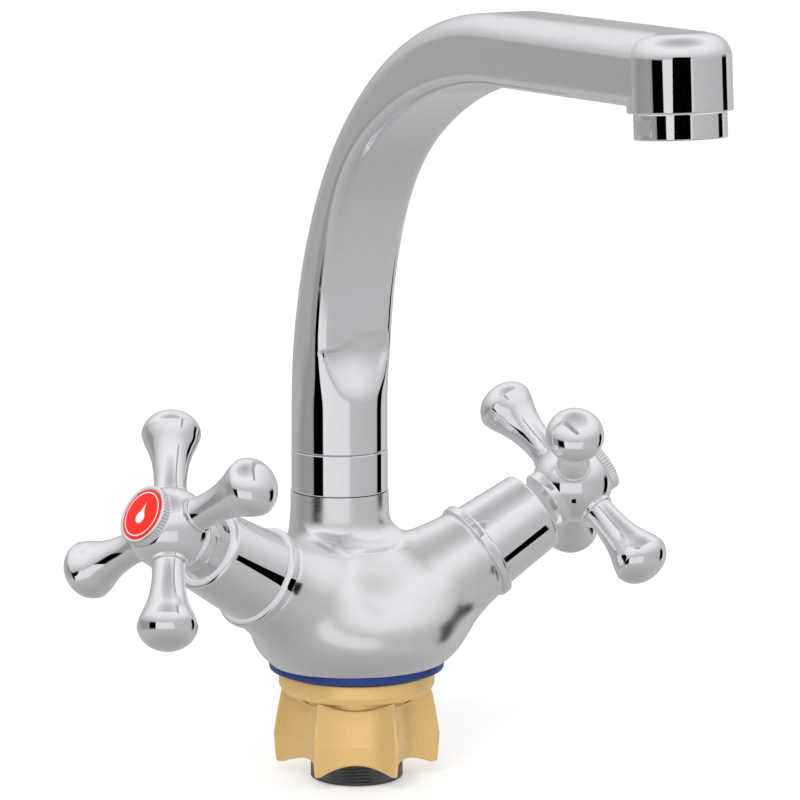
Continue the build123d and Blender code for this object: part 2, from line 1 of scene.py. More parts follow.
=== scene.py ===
# %% [markdown]
# # A two-handle basin mixer, finished in Blender
# The measured model of the mixer arrives as a fixed frame. Every piece that the eye meets is then
# built again as a smooth surface in the same place, rides on the same moving body, and gets its
# finish. We start by loading the frame and noting how large it is.

# %% Load the frame
import json
from math import atan, cos, degrees, pi, radians, sin, sqrt, tan
import bpy
import numpy as np
from mathutils import Matrix, Vector

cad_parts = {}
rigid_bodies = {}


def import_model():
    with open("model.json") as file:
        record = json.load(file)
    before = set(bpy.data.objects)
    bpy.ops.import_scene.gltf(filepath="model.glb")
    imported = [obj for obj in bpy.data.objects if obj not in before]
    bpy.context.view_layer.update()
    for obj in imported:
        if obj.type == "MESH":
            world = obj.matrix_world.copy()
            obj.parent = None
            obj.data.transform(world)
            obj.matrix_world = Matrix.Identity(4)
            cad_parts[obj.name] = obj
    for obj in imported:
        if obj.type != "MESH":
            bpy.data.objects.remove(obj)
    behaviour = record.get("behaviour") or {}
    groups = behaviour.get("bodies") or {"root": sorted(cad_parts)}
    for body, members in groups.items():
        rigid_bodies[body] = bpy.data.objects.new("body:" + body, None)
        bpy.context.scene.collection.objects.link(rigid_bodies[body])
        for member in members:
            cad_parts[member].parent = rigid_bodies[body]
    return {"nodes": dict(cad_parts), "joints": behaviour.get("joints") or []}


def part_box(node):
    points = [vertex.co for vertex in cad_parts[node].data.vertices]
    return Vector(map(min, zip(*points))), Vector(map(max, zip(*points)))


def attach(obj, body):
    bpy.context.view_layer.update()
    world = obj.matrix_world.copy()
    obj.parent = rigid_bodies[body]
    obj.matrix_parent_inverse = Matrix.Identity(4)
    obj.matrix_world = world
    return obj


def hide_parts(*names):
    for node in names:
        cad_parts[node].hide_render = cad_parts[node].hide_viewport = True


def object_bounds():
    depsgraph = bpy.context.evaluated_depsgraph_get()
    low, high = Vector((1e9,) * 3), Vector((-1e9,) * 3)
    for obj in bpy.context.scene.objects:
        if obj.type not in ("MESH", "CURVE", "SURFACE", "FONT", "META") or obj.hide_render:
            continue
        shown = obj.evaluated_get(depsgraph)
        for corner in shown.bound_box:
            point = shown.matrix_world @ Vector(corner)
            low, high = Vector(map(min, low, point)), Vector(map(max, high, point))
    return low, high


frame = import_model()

cad_low, cad_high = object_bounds()
print("frame box, metres:", [round(v, 4) for v in cad_low], [round(v, 4) for v in cad_high])

# %% [markdown]
# ## From a grid of points to a closed mesh
# A smooth part is a function of two parameters, so numpy can work out all of its points at once as a
# grid: rows run along the part, columns run round it. One helper turns any such grid into a mesh.
# It could be done with bmesh vertex by vertex, but whole arrays are faster and read like the formula.
# The helper also measures the enclosed volume: a negative one means that the shape is inside out.

# %% Grid to mesh
MM = 0.001


def volume_of(points, faces):
    """Signed volume: the sum over triangles of corner . (corner x corner) / 6."""
    total = 0.0
    for size in (3, 4):
        chosen = np.array([f for f in faces if len(f) == size])
        if len(chosen):
            for k in range(1, size - 1):
                a, b, c = points[chosen[:, 0]], points[chosen[:, k]], points[chosen[:, k + 1]]
                total += np.einsum("ij,ij->", a, np.cross(b, c)) / 6
    return total


def grid_piece(name, grid, loop=False, crease=38.0, uv=None):
    """Mesh from a (rows, columns, 3) grid in millimetres whose columns close on themselves.
    With loop the rows close too; otherwise each end row is closed by a fan to its middle."""
    rows, columns = grid.shape[:2]
    points = grid.reshape(-1, 3)
    last = rows if loop else rows - 1
    i, j = np.meshgrid(np.arange(last), np.arange(columns), indexing="ij")
    i2, j2 = (i + 1) % rows, (j + 1) % columns
    quads = np.stack([i * columns + j, i * columns + j2, i2 * columns + j2, i2 * columns + j], -1)
    faces = quads.reshape(-1, 4).tolist()
    if not loop:
        middles = np.stack([grid[0].mean(0), grid[-1].mean(0)])
        points = np.concatenate([points, middles])
        around = np.arange(columns)
        nxt = (around + 1) % columns
        tip = np.full(columns, rows * columns)
        faces += np.stack([nxt, around, tip], -1).tolist()
        base = (rows - 1) * columns
        faces += np.stack([base + around, base + nxt, tip + 1], -1).tolist()
    if volume_of(points, faces) < 0:
        faces = [face[::-1] for face in faces]
    return mesh_piece(name, points, faces, crease, uv)


def mesh_piece(name, points, faces, crease=38.0, uv=None):
    """Object at the origin from points in millimetres; edges sharper than crease stay crisp."""
    mesh = bpy.data.meshes.new(name)
    mesh.from_pydata((points * MM).tolist(), [], faces)
    mesh.polygons.foreach_set("use_smooth", np.ones(len(mesh.polygons), bool))
    if uv is not None:
        corner = np.zeros(len(mesh.loops), np.int32)
        mesh.loops.foreach_get("vertex_index", corner)
        layer = mesh.uv_layers.new(name="face_plane")
        layer.data.foreach_set("uv", uv(points)[corner].astype(np.float32).ravel())
    mesh.set_sharp_from_angle(angle=radians(crease))
    mesh.validate()
    piece = bpy.data.objects.new(name, mesh)
    bpy.context.scene.collection.objects.link(piece)
    print(f"{name}: {len(mesh.vertices)} points, {len(mesh.polygons)} faces")
    return piece

# %% [markdown]
# ## Turned parts
# Collars, sleeves, rings, handle arms and hubs all come off a lathe. A lathe part is an outline of
# radius and height carried round an axis. Real turned parts have no perfectly sharp corner, and on
# chrome it is the tiny rounding that catches the light, so the outline helper rounds each corner with
# a true arc and adds a guard point beside it, which keeps the flats next to it flat in the shading.

# %% Rounded outlines and the lathe


def outline(*corners, closed=True, steps=6, guard=0.12):
    """Points of a polygon whose corners (r, h, rounding) are replaced by tangent arcs:
    each arc point is the arc centre plus the first radius turned by part of the corner's angle."""
    p = np.array([c[:2] for c in corners], float)
    out = []
    for k, (_, _, rounding) in enumerate(corners):
        if not closed and k in (0, len(corners) - 1):
            out.append(p[k][None])
            continue
        before, here, after = p[k - 1], p[k], p[(k + 1) % len(p)]
        d1, d2 = here - before, after - here
        l1, l2 = np.hypot(*d1), np.hypot(*d2)
        d1, d2 = d1 / l1, d2 / l2
        turn = np.arctan2(d1[0] * d2[1] - d1[1] * d2[0], d1 @ d2)
        if rounding <= 0 or abs(turn) < 1e-3:
            out.append(here[None])
            continue
        reach = min(rounding * tan(abs(turn) / 2), 0.46 * l1, 0.46 * l2)
        radius = reach / tan(abs(turn) / 2)
        normal = np.array([-d1[1], d1[0]]) * np.sign(turn)
        start = here - d1 * reach
        centre = start + normal * radius
        a = np.linspace(0, turn, steps + 1)[:, None]
        arm = start - centre
        arc = centre + np.cos(a) * arm + np.sin(a) * np.array([-arm[1], arm[0]])
        g = min(guard, 0.04 * l1 + 0.02, 0.04 * l2 + 0.02)
        out += [(start - d1 * g)[None], arc, (here + d2 * (reach + g))[None]]
    return np.concatenate(out)


UPRIGHT = (np.zeros(3), np.eye(3))


def place(points, where):
    """Points given along the three directions of a place, moved to that place."""
    origin, axes = where
    return origin + points @ axes


def lathe(name, profile, where=UPRIGHT, columns=96, loop=True, ripple=None, **more):
    """Surface of revolution: (r cos t, r sin t, h); ripple(r, h, t) may change the radius."""
    t = np.linspace(0, 2 * pi, columns, endpoint=False)[None, :]
    r, h = profile[:, :1] + 0 * t, profile[:, 1:] + 0 * t
    if ripple is not None:
        r = ripple(r, h, t)
    local = np.stack([r * np.cos(t), r * np.sin(t), h], -1)
    return grid_piece(name, place(local, where), loop=loop, **more)

# %% [markdown]
# ## Where the valves are
# Each valve is a stack of parts on one slanted axis. The frame knows that axis, because the handle
# turns about it, so the place of every valve part comes from the joint: the third direction runs
# outwards along the axis and the first one points up the slope.

# %% Valve places
joints = {joint["name"]: joint for joint in frame["joints"]}
COLUMN_Y = joints["spout_swivel"]["pos_m"][1] / MM
REST_TURN = {"hot": 32.8, "cold": 47.3}


def valve_place(side, turn=0.0):
    """Origin where the axis crosses the middle plane, and three directions turned about the axis."""
    joint = joints[side + "_handle_turn"]
    axis = np.array(joint["axis"], float)
    axis /= np.linalg.norm(axis)
    at = np.array(joint["pos_m"], float) / MM
    origin = at - axis * at[0] / axis[0]
    up = np.array([0, 0, 1.0]) - axis * axis[2]
    up /= np.linalg.norm(up)
    across = np.cross(axis, up)
    c, s = cos(radians(turn)), sin(radians(turn))
    return origin, np.array([c * up + s * across, c * across - s * up, axis])


COLUMN = (np.array([0, COLUMN_Y, 0.0]), np.eye(3))
for side in REST_TURN:
    print(side, "valve starts at", valve_place(side)[0].round(2), "along", valve_place(side)[1][2].round(3))

# %% [markdown]
# ## The body casting
# The body is one casting whose bowl, neck and two arms flow into each other. It could be modelled by
# hand with subdivision, but the blends are what a casting is about, so it is written as a field: each
# part gives a rough distance to its surface, and a soft minimum joins them with a fillet. From a
# point inside, every direction meets the surface once, so a grid of directions and a halving search
# find it. The flat ends are cut afterwards, which leaves truly round, crisp seats.

# %% Distances that make up the casting
NECK_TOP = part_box("swivel_collar")[0].z / MM
BODY_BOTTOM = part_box("body_casting")[0].z / MM
ARM_END, ARM_END_RADIUS = 41.2, 14.2


def soft_minimum(a, b, blend):
    """Smaller of two distances, rounded by blend where they are nearly equal."""
    k = np.clip(0.5 + 0.5 * (b - a) / blend, 0, 1)
    return b + (a - b) * k - blend * k * (1 - k)


def smooth_curve(x, knots_x, knots_y):
    """Cubic through knots with matched slopes, held level beyond both ends."""
    kx, ky = np.array(knots_x, float), np.array(knots_y, float)
    slope = np.gradient(ky, kx)
    x = np.clip(x, kx[0], kx[-1])
    n = np.clip(np.searchsorted(kx, x) - 1, 0, len(kx) - 2)
    w = kx[n + 1] - kx[n]
    s = (x - kx[n]) / w
    return ((2 * s ** 3 - 3 * s ** 2 + 1) * ky[n] + (s ** 3 - 2 * s ** 2 + s) * w * slope[n]
            + (3 * s ** 2 - 2 * s ** 3) * ky[n + 1] + (s ** 3 - s ** 2) * w * slope[n + 1])


def casting_distance(q):
    """Soft minimum of the bowl, the neck and two arms; negative inside."""
    x, y, z = q[..., 0], q[..., 1], q[..., 2]
    h = z - BODY_BOTTOM
    bowl = np.hypot(x, y) - smooth_curve(
        h, (-2, 0, 1.5, 3.6, 6.5, 9.5, 14, 20, 27, 33), (23, 25.2, 27, 28.9, 30.3, 31, 30.6, 27.5, 21, 11))
    bowl = np.maximum(bowl, (h - 34) * 0.8)
    neck = np.hypot(x, y - COLUMN_Y) - smooth_curve(
        z, (5, 20, 28, 34, 40, NECK_TOP, 60), (17, 17.5, 16.9, 15.9, 14.8, 14.25, 14.25))
    total = soft_minimum(bowl, neck, 7.0)
    for side in REST_TURN:
        origin, axes = valve_place(side)
        local = (q - origin) @ axes.T
        along = local[..., 2]
        radius = smooth_curve(along, (0, 12, 22, 30, 37, ARM_END), (19.0, 19.0, 17.9, 16.3, 14.8, ARM_END_RADIUS))
        edge = np.clip(along - (ARM_END - 0.7), 0, 0.68)
        radius = radius - (0.7 - np.sqrt(0.49 - edge ** 2))
        arm = np.maximum(np.hypot(local[..., 0], local[..., 1]) - radius, -along - 4)
        total = soft_minimum(total, arm, 6.0)
    return total

# %% Sample the casting and cut its seats


def cut_flat(piece, point, normal):
    """Remove what lies beyond a plane and close the cut with one flat face."""
    import bmesh
    work = bmesh.new()
    work.from_mesh(piece.data)
    result = bmesh.ops.bisect_plane(
        work, geom=work.verts[:] + work.edges[:] + work.faces[:], dist=1e-7,
        plane_co=Vector(point * MM), plane_no=Vector(normal), clear_outer=True)
    rim = [e for e in result["geom_cut"] if isinstance(e, bmesh.types.BMEdge)]
    bmesh.ops.edgeloop_fill(work, edges=rim)
    bmesh.ops.remove_doubles(work, verts=work.verts, dist=2e-6)
    bmesh.ops.recalc_face_normals(work, faces=work.faces)
    work.to_mesh(piece.data)
    work.free()


def casting():
    """Ray r from the middle in each direction; r is halved onto the zero of the distance field."""
    middle = np.array([0, 0.5, 17.0])
    turn = np.linspace(0, 2 * pi, 432, endpoint=False)[None, :]
    climb = np.linspace(-pi / 2 + 0.02, pi / 2 - 0.02, 200)[:, None]
    way = np.stack([np.cos(climb) * np.cos(turn), np.cos(climb) * np.sin(turn),
                    np.sin(climb) + 0 * turn], -1)
    near, far = np.full(way.shape[:2], 2.0), np.full(way.shape[:2], 75.0)
    for _ in range(26):
        half = 0.5 * (near + far)
        inside = casting_distance(middle + way * half[..., None]) < 0
        near, far = np.where(inside, half, near), np.where(inside, far, half)
    piece = grid_piece("body_casting_skin", middle + way * near[..., None], crease=50)
    cut_flat(piece, np.array([0, 0, NECK_TOP - 0.12]), (0, 0, 1))
    cut_flat(piece, np.array([0, 0, BODY_BOTTOM]), (0, 0, -1))
    for side in REST_TURN:
        origin, axes = valve_place(side)
        cut_flat(piece, origin + axes[2] * ARM_END, axes[2])
    piece.data.polygons.foreach_set("use_smooth", np.ones(len(piece.data.polygons), bool))
    piece.data.set_sharp_from_angle(angle=radians(45))
    return piece


body_skin = casting()
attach(body_skin, "body")
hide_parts("body_casting")
chrome_pieces = [body_skin]

# %% [markdown]
# ## Seal, gasket and threaded shank
# Under the body sits a soft blue ring, and below the deck a thin black gasket. Both are simple turned
# rings. The hollow shank carries a fine thread: a spiral ridge whose radius depends on height minus
# angle, so one formula over the grid gives a true helix instead of stacked rings.

# %% Seal, gasket and shank


def ring_in(node, inner, rounding, where=UPRIGHT, bulge=0.0, columns=128):
    """Rounded rectangular section carried round the axis, as tall and wide as the frame's node."""
    low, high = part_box(node)
    outer, bottom, top = high.x / MM, low.z / MM, high.z / MM
    profile = outline((inner, bottom, 0.1), (outer - bulge, bottom, rounding),
                      (outer, 0.5 * (bottom + top), 0.6 if bulge else 0), (outer - bulge, top, rounding),
                      (inner, top, 0.1))
    return lathe(node + "_skin", profile, where, columns)


seal = ring_in("base_seal", 13.7, 0.5, bulge=0.12)
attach(seal, "body")
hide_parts("base_seal")

gasket = ring_in("deck_gasket", 14.0, 0.2)
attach(gasket, "gasket")
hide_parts("deck_gasket")

SHANK_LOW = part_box("threaded_shank")[0].z / MM
SHANK_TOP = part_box("threaded_shank")[1].z / MM
THREAD_PITCH, THREAD_DEPTH = 1.0, 0.55


def threaded(r, h, t):
    """Outside radius minus depth times a triangle wave of height / pitch - angle / turn."""
    wave = np.abs(((h / THREAD_PITCH - t / (2 * pi)) % 1.0) - 0.5) * 2
    fade = np.clip((h - SHANK_LOW - 0.4) / 0.8, 0, 1) * (h < 1.0)
    return np.where(r > 13.0, r - THREAD_DEPTH * (1 - (1 - wave) ** 0.8) * fade, r)


rise = np.arange(SHANK_LOW + 0.5, SHANK_TOP - 0.1, 0.125)
thread_profile = np.concatenate([
    [(11.6, SHANK_LOW + 0.3), (11.9, SHANK_LOW), (12.9, SHANK_LOW), (13.35, SHANK_LOW + 0.3)],
    np.stack([np.full(len(rise), 13.5), rise], -1),
    [(13.4, SHANK_TOP), (11.6, SHANK_TOP)]])
shank = lathe("threaded_shank_skin", thread_profile, columns=96, ripple=threaded)
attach(shank, "body")
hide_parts("threaded_shank")

# %% [markdown]
# ## The mounting nut
# The big nut has a round flange and a six-pointed star with hollow sides, cast with draft both ways
# from a parting line and dished at its ends. Cutting it from a block would need many booleans. Here
# the radius is a function of angle: on each side a ray meets the hollowing circle, and near a point
# of the star it meets the outer corner circle instead.

# %% Mounting nut
NUT_TURN = 28.5
flange_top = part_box("mounting_nut")[1].z / MM
star_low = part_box("mounting_nut")[0].z / MM
STAR_TOP, NUT_DISH = flange_top - 5.7, 3.0
PARTING = STAR_TOP - 0.62 * (STAR_TOP - star_low)


def star_radius(t, h):
    """Soft minimum of the corner radius and far cos a - sqrt(scoop^2 - far^2 sin^2 a)."""
    a = (t + pi / 2 + pi / 6) % (pi / 3) - pi / 6
    drop = np.where(h > PARTING, (h - PARTING) / (STAR_TOP - PARTING),
                    (PARTING - h) / (PARTING - star_low))
    scoop = 17.1 + np.where(h > PARTING, 1.5, 0.7) * drop
    corner = 24.2 - np.where(h > PARTING, 2.0, 0.7) * drop
    far = 34.1
    inside = np.maximum(scoop ** 2 - (far * np.sin(a)) ** 2, 0)
    hollow = far * np.cos(a) - np.sqrt(inside)
    return soft_minimum(hollow, corner, 1.3)


def nut_grid(columns=384):
    """Rows run from the bore over the flange, down the star's side and back up the dished end."""
    t = np.linspace(0, 2 * pi, columns, endpoint=False)
    flat = np.ones(columns)
    neck = 15.3
    rows = [(r * flat, h * flat) for r, h in outline(
        (13.6, flange_top - 2, 0), (13.6, flange_top, 0.2), (22.7, flange_top, 0.5),
        (22.7, flange_top - 3.7, 0.3), (21.6, STAR_TOP, 0.3), (neck, STAR_TOP, 0.4),
        (neck, STAR_TOP - 1.4, 0), closed=False)]
    top_reach = star_radius(t, STAR_TOP)
    top = STAR_TOP - NUT_DISH * np.clip((21.4 - top_reach) / (21.4 - neck), 0, 1) - 0.02
    for s in (0.0, 0.25, 0.5, 0.75):
        r = neck + (top_reach - 0.7 - neck) * s
        rows.append((r, STAR_TOP - NUT_DISH + (top - STAR_TOP + NUT_DISH) * s))
    low_reach = star_radius(t, star_low)
    low = star_low + NUT_DISH * np.clip((22.3 - low_reach) / (22.3 - neck), 0, 1)
    depth = np.array([0, .08, .2, .4, .7, .82])
    inset = np.append(0.7 - np.sqrt(np.maximum(0.49 - (0.7 - depth[:5]) ** 2, 0)), 0)
    for d, i in zip(depth, inset):
        rows.append((star_radius(t, top - d) - i, top - d))
    for s in (0.12, 0.25, 0.4, 0.5, 0.598, 0.616, 0.624, 0.642, 0.75, 0.88):
        h = STAR_TOP - s * (STAR_TOP - star_low)
        h = np.clip(h * flat, low + 0.9, top - 0.9)
        rows.append((star_radius(t, h), h))
    for d, i in zip(depth[::-1], inset[::-1]):
        rows.append((star_radius(t, low + d) - i, low + d))
    for s in (0.7, 0.4, 0.0):
        r = 14.6 + (low_reach - 0.7 - 14.6) * s
        rows.append((r, star_low + NUT_DISH + (low - star_low - NUT_DISH) * s))
    rows.append((13.6 * flat, (star_low + NUT_DISH) * flat))
    turned = t + radians(NUT_TURN)
    return np.stack([np.stack([r * np.cos(turned), r * np.sin(turned), h], -1) for r, h in rows])


nut = grid_piece("mounting_nut_skin", nut_grid(), loop=True, crease=32)
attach(nut, "nut")
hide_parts("mounting_nut")

# %% [markdown]
# ## The collar
# A plain polished ring nut joins the spout to the neck. Its whole character is in the hairline gaps
# above and below it, so it gets small true roundings and nothing else.

# %% Collar
collar_low, collar_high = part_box("swivel_collar")
collar = lathe("swivel_collar_skin", outline(
    (9.6, collar_low.z / MM, 0.1), (14.0, collar_low.z / MM, 0.35), (14.0, collar_high.z / MM, 0.35),
    (9.6, collar_high.z / MM, 0.1)), COLUMN, columns=160)
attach(collar, "body")
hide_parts("swivel_collar")
chrome_pieces.append(collar)

# %% [markdown]
# ## The spout
# The spout rises round, like the collar, then becomes a flat-faced bar that thins round the bend and
# ends in the outlet. It could be a bevelled curve, but its section changes all the way. So two side
# curves, inner and outer, are drawn with tangent arcs, and at each station a section is stretched
# between them: a circle at the foot, a rounded rectangle further up. A thumb-shaped hollow is pressed
# into the front where the round foot gives way to the flat face.

# %% Side curves of the spout
spout_low, spout_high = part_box("spout")
FOOT_Z = spout_low.z / MM
REACH, UNDERSIDE, ARM_DEPTH = 168.9, 176.5, 19.0
FRONT, BACK = 10.0, 10.5


def side_curve(start, radii, turns, level):
    """Upright line, tangent arcs and level line: forward distance and height of each sample."""
    lean, climb, arcs = 0.0, 0.0, []
    for radius, turn in zip(radii, turns):
        a = np.radians(np.linspace(lean, lean + turn, 60)[1:])
        a0 = radians(lean)
        base = arcs[-1][-1] if arcs else np.zeros(2)
        arcs.append(base + radius * np.stack([cos(a0) - np.cos(a), np.sin(a) - sin(a0)], -1))
        lean += turn
    bend = np.concatenate([np.zeros((1, 2))] + arcs)
    bend += (start, level - bend[-1, 1])
    foot = np.stack([np.full(80, start), np.linspace(FOOT_Z, bend[0, 1], 80, endpoint=False)], -1)
    arm = np.stack([np.linspace(bend[-1, 0], REACH, 50)[1:], np.full(49, level)], -1)
    return np.concatenate([foot, bend, arm])


inner = side_curve(FRONT, (110.0, 56.0, 101.0), (24, 30, 36), UNDERSIDE)
outer = side_curve(-BACK, (150.0, 115.0, 95.3), (22, 28, 40), UNDERSIDE + ARM_DEPTH)


def along_curve(curve, distance):
    """Points of a polyline at given distances along it."""
    step = np.append(0, np.cumsum(np.hypot(*np.diff(curve, axis=0).T)))
    return np.stack([np.interp(distance, step, curve[:, k]) for k in (0, 1)], -1), step[-1]


_, inner_length = along_curve(inner, np.zeros(1))
stations = np.concatenate([np.arange(0, 48, 0.55), np.arange(48, inner_length, 1.5), [inner_length]])
inside_edge, _ = along_curve(inner, stations)
apart = np.hypot(*(inside_edge[:, None] - outer[None]).transpose(2, 0, 1))
shares = np.cumsum(np.hypot(*np.diff(outer, axis=0, prepend=outer[:1]).T))
nearest = np.maximum.accumulate(shares[apart.argmin(1)])
smooth = np.convolve(np.pad(nearest, 12, mode="reflect", reflect_type="odd"), np.ones(25) / 25, "valid")
smooth[0], smooth[-1] = 0.0, shares[-1]
outside_edge, _ = along_curve(outer, smooth)
print("spout stations:", len(stations), "length of the inner curve", round(inner_length, 1), "mm")

# %% Sections of the spout


def rounded_box(half, front, back, front_round, back_round, columns=176):
    """Closed outline of forward a against sideways b: four sides joined by quarter arcs.
    Columns are shared evenly by the angle seen from the middle, so stations line up."""
    t = np.linspace(0, 2 * pi, columns, endpoint=False)
    t = t + 0.16 * np.sin(4 * t - pi)
    ca, sb = np.cos(t)[None, :], np.sin(t)[None, :]
    middle, deep = 0.5 * (front + back), 0.5 * (front - back)
    rounding = np.where(ca > 0, front_round[:, None], back_round[:, None])
    u, v = deep[:, None], half[:, None]
    with np.errstate(divide="ignore", invalid="ignore"):
        flat = np.minimum(u / np.abs(ca), v / np.abs(sb))
        cx, cy = u - rounding, v - rounding
        along = cx * np.abs(ca) + cy * np.abs(sb)
        gap = np.abs(cx * np.abs(sb) - cy * np.abs(ca))
        arc = along + np.sqrt(np.maximum(rounding ** 2 - gap ** 2, 0))
    in_corner = (flat * np.abs(ca) > cx) & (flat * np.abs(sb) > cy) & (gap < rounding)
    r = np.where(in_corner, arc, flat)
    return middle[:, None] + r * ca, r * sb


def ease(x):
    """0 below 0, 1 above 1, with level ends: 3x^2 - 2x^3."""
    x = np.clip(x, 0, 1)
    return x * x * (3 - 2 * x)


def spout_grid():
    """Section blended from circle to rounded box with height, minus the pressed hollow."""
    centre = 0.5 * (inside_edge + outside_edge)
    across = inside_edge - outside_edge
    depth = np.hypot(*across.T)
    across = across / depth[:, None]
    height = inside_edge[:, 1]
    bent = stations
    half = smooth_curve(bent, (0, 12, 28, 45, 66, 88, 110, inner_length),
                        (12.9, 13.0, 13.2, 13.2, 13.2, 13.4, 13.4, 13.4))
    front_round = smooth_curve(bent, (0, 40, 80, 120, inner_length), (5.5, 4.2, 4.0, 4.0, 4.0))
    back_round = smooth_curve(bent, (0, 40, 80, 120, inner_length), (8.0, 7.0, 6.5, 6.5, 7.5))
    half = np.minimum(half, 13.4)
    back_round = np.minimum(back_round, 0.49 * depth)
    front_round = np.minimum(front_round, 0.49 * depth)
    a, b = rounded_box(half, 0.5 * depth, -0.5 * depth, front_round, back_round)
    t = np.arctan2(b, a)
    mid_u = centre[:, 0][:, None]
    ray_u, ray_b = np.cos(t), np.sin(t)
    off = mid_u * ray_u
    circle = -off + np.sqrt(np.maximum(off ** 2 - mid_u ** 2 + 13.95 ** 2, 0))
    shift = ease(bent / 34.0)[:, None]
    front_side = np.clip(np.cos(t) * 1.5 + 0.3, 0, 1)
    shift_front = ease((bent[:, None] - 13) / 22.0)
    shift = shift + (shift_front - shift) * ease(front_side)
    a = circle * ray_u * (1 - shift) + a * shift
    b = circle * ray_b * (1 - shift) + b * shift
    up = bent[:, None]
    lower = 15.5 + 14.0 * np.clip(np.abs(b) / 11.0, 0, 1.2) ** 3.5
    crease = 29.6
    upper = 30.4 + 5.2 * ease((b + 11.0) / 15.0)
    fall = np.clip((up - lower) / np.maximum(crease - lower, 0.5), 0, 1)
    back_out = 1 - np.clip((up - crease) / np.maximum(upper - crease, 0.3), 0, 1)
    press = np.where(up < crease, ease(fall) ** 0.9, back_out)
    facing = ease((a - 0.5 * depth[:, None] * 0.2) / 5.0) * ease((12.0 - np.abs(b)) / 2.6)
    a = a - 1.7 * press * facing
    forward = centre[:, 0][:, None] + a * across[:, 0][:, None]
    rise = centre[:, 1][:, None] + a * across[:, 1][:, None]
    return np.stack([b, COLUMN_Y - forward, rise], -1)


spout_points = spout_grid()
foot_rows = []
for inset, drop in ((0.9, 0.0), (0.9, 0.22), (0.22, 0.24), (0.07, 0.3), (0.0, 0.42)):
    row = spout_points[0].copy()
    middle = np.array([0, COLUMN_Y, 0])
    flat = row - middle
    length = np.hypot(flat[:, 0], flat[:, 1])[:, None]
    row[:, :2] = middle[:2] + flat[:, :2] * (length - inset) / length
    row[:, 2] = FOOT_Z + drop
    foot_rows.append(row)
spout_points[0, :, 2] = FOOT_Z + 0.5
spout_skin = grid_piece("spout_skin", np.concatenate([np.stack(foot_rows), spout_points]), crease=48)

# %% [markdown]
# ## The outlet
# The arm ends in an upright round boss whose top is domed, and a short ring carries the aerator. The
# boss shows a curved line where its upright wall leaves the flat flank of the arm, so it is a part
# of its own, a turned form that stands in the end of the arm and leans slightly with the jet.

# %% Outlet boss and aerator
TILT = radians(4.0)
OUTLET = (np.array([0, COLUMN_Y - REACH, UNDERSIDE - 1.1]),
          np.array([[1, 0, 0], [0, cos(TILT), -sin(TILT)], [0, sin(TILT), cos(TILT)]]))
boss = lathe("outlet_boss", np.concatenate([
    [(0.02, 0.0)], outline((0.02, 0, 0), (13.5, 0, 0.45), (13.5, 19.55, 8.0), (0.02, 19.9, 0),
                           closed=False, steps=16)[1:]]), OUTLET, columns=144, loop=False)
aerator_top = lathe("outlet_stub", outline((9.0, 0.6, 0), (10.8, 0.6, 0.1), (10.8, -4.4, 0.2),
                                           (9.0, -4.4, 0)), OUTLET, columns=96)


def with_flats(r, h, t):
    """Radius limited to a flat on each side over the lower part of the ring."""
    flat = 11.4 / np.maximum(np.abs(np.cos(t)), 1e-3)
    lower = (h < -1.7) & (h > -5.4) & (r > 11.0)
    return np.where(lower, np.minimum(r, flat), r)


aerator = lathe("aerator_housing_skin", outline(
    (10.85, -0.1, 0.1), (11.9, -0.1, 0.35), (11.9, -1.65, 0), (11.9, -1.75, 0), (11.9, -5.35, 0),
    (11.9, -5.45, 0), (11.9, -6.8, 0.5), (9.25, -6.8, 0.3), (9.25, -5.7, 0.1), (10.85, -5.7, 0)),
    OUTLET, columns=160, ripple=with_flats)
for piece in (spout_skin, boss, aerator_top, aerator):
    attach(piece, "spout_group")
    chrome_pieces.append(piece)
for piece in (spout_skin, boss, aerator_top):
    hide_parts("spout")
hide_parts("aerator_housing")

# %% [markdown]
# ## Rings and sleeves of the valves
# Each arm of the body ends in a bright ring, and a slightly conical sleeve hides the headwork. Their
# rounded edges and the dark lines between them are what one sees, so ring, sleeve and body seat each
# end in a small arc and the arcs leave a groove between them.

# %% Rings and sleeves
RING_END, SLEEVE_END = 44.4, 64.4


def dress(piece, side, name, body):
    """Let a valve piece ride on its body and stand for its node, which is hidden."""
    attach(piece, body)
    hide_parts(f"{side}_{name}")


for side in REST_TURN:
    here = valve_place(side)
    ring = lathe(f"{side}_flange_ring_skin", outline(
        (11.3, ARM_END, 0.1), (13.9, ARM_END, 0.2), (14.1, ARM_END + 0.35, 0.1),
        (15.1, ARM_END + 0.35, 0.7), (15.1, RING_END - 0.25, 0.8), (14.0, RING_END - 0.05, 0.3),
        (11.3, RING_END, 0.1)), here, columns=144)
    dress(ring, side, "flange_ring", "body")
    sleeve = lathe(f"{side}_valve_sleeve_skin", outline(
        (11.9, RING_END, 0.1), (13.3, RING_END, 0.25), (13.46, RING_END + 0.5, 0.2),
        (12.15, SLEEVE_END - 0.1, 1.5), (9.3, SLEEVE_END, 0.4), (9.3, SLEEVE_END - 1.8, 0.2),
        (10.6, SLEEVE_END - 2.2, 0.2)), here, columns=144)
    dress(sleeve, side, "valve_sleeve", "body")
    chrome_pieces += [ring, sleeve]

# %% [markdown]
# ## Hubs and arms of the handles
# A handle is a round hub with four turned arms, each with a little root ring, a waist that opens like
# a trumpet, and a domed end. The waist is one smooth curve through a few radii. Sharing one profile
# between all four arms keeps them alike, as the lathe would.

